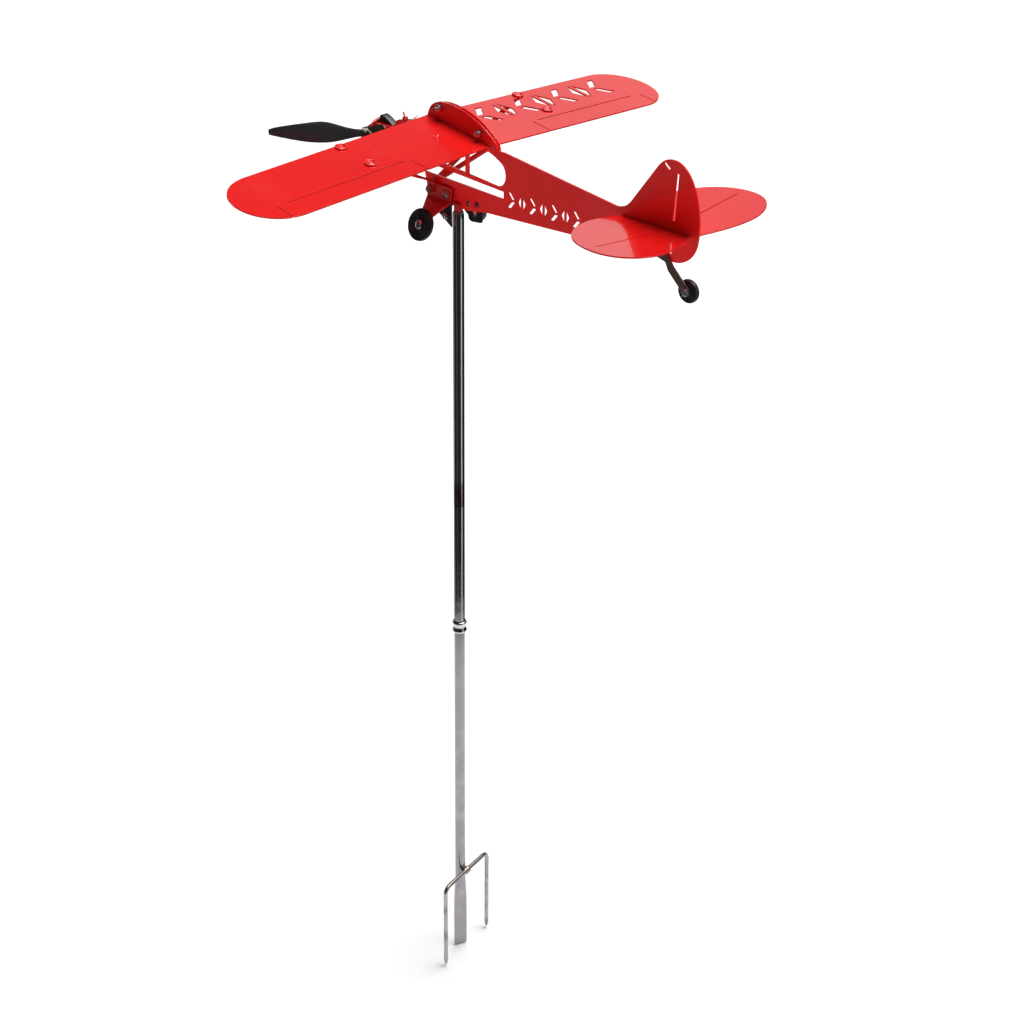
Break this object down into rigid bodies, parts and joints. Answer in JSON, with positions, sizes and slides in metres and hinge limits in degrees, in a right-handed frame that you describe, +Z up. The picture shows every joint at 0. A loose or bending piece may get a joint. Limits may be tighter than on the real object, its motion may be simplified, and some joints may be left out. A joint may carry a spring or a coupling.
{
  "type": "garden whirligig",
  "caption": "Sheet metal toy aeroplane with a free-turning propeller and wheels that swings to the wind on a chromed pole with a forked ground stake.",
  "frame": {"origin": "middle of the stake blade's lower end, on the pole axis", "axes": "+Z up along the pole, -Y towards the aeroplane's nose, +X towards its left wing tip"},
  "size_m": [0.4498, 0.3674, 0.8453],
  "materials": {
    "red_paint": "high gloss red powder coat",
    "chromed_tube": "polished, with fine handling marks",
    "fork_wire": "plain drawn wire, dull",
    "weld_metal": "heat tinted",
    "bearing_plastic": "satin",
    "zinc_hardware": "bright zinc plate",
    "spring_steel": "blued, satin",
    "cast_engine": "dark cast, satin",
    "black_plate": "satin black",
    "red_plastic": "gloss",
    "wheel_rubber": "matt",
    "black_plastic": "satin to gloss"
  },
  "bodies": {
    "pole": {"lower_tube": "chromed_tube", "ground_fork": "fork_wire", "fork_weld": "weld_metal", "pole_ferrule": "chromed_tube", "middle_tube": "chromed_tube", "upper_tube": "chromed_tube", "pole_bearing": "bearing_plastic", "thrust_plug": "bearing_plastic"},
    "aeroplane": {"pivot_spindle": "zinc_hardware", "pivot_bush": "red_plastic", "guard_plate": "black_plate", "guard_bolt": "zinc_hardware", "guard_nut": "zinc_hardware", "keel_bracket": "black_plate", "fuselage_plate": "red_paint", "left_wing": "red_paint", "right_wing": "red_paint", "wing_bolt_front": "zinc_hardware", "wing_nut_front": "zinc_hardware", "wing_bolt_rear": "zinc_hardware", "wing_nut_rear": "zinc_hardware", "left_strut": "red_paint", "right_strut": "red_paint", "left_rivet_front": "red_paint", "left_rivet_rear": "red_paint", "right_rivet_front": "red_paint", "right_rivet_rear": "red_paint", "left_leg": "red_paint", "right_leg": "red_paint", "left_axle": "zinc_hardware", "left_axle_nut": "zinc_hardware", "right_axle": "zinc_hardware", "right_axle_nut": "zinc_hardware", "leg_bolt_front": "zinc_hardware", "leg_nut_front": "zinc_hardware", "leg_bolt_rear": "zinc_hardware", "leg_nut_rear": "zinc_hardware", "left_stabiliser": "red_paint", "right_stabiliser": "red_paint", "tail_rivet_front": "red_paint", "tail_rivet_rear": "red_paint", "tail_spring": "spring_steel", "tail_axle": "zinc_hardware", "tail_axle_nut": "zinc_hardware", "tail_bolt": "zinc_hardware", "tail_nut": "zinc_hardware", "cowl": "red_paint", "left_cylinder": "cast_engine", "right_cylinder": "cast_engine", "air_scoop": "black_plate", "fuel_wire": "red_paint"},
    "left_wheel": {"left_wheel": "wheel_rubber"},
    "right_wheel": {"right_wheel": "wheel_rubber"},
    "tail_wheel": {"tail_wheel": "wheel_rubber"},
    "propeller": {"propeller": "black_plastic", "prop_shaft": "zinc_hardware", "prop_washer": "zinc_hardware", "hub_nut": "zinc_hardware"}
  },
  "joints": [
    {"name": "aeroplane_yaw", "type": "hinge", "parent": "pole", "child": "aeroplane", "pos_m": [0, 0, 0.748], "axis": [0, 0, 1], "continuous": true},
    {"name": "propeller_spin", "type": "hinge", "parent": "aeroplane", "child": "propeller", "pos_m": [0, -0.098, 0.792], "axis": [0, 1, 0], "continuous": true},
    {"name": "left_wheel_spin", "type": "hinge", "parent": "aeroplane", "child": "left_wheel", "pos_m": [0.03006, -0.0125, 0.74246], "axis": [0.9397, 0, 0.342], "continuous": true},
    {"name": "right_wheel_spin", "type": "hinge", "parent": "aeroplane", "child": "right_wheel", "pos_m": [-0.03006, -0.0125, 0.74246], "axis": [-0.9397, 0, 0.342], "continuous": true},
    {"name": "tail_wheel_spin", "type": "hinge", "parent": "aeroplane", "child": "tail_wheel", "pos_m": [0, 0.24, 0.749], "axis": [1, 0, 0], "continuous": true}
  ]
}
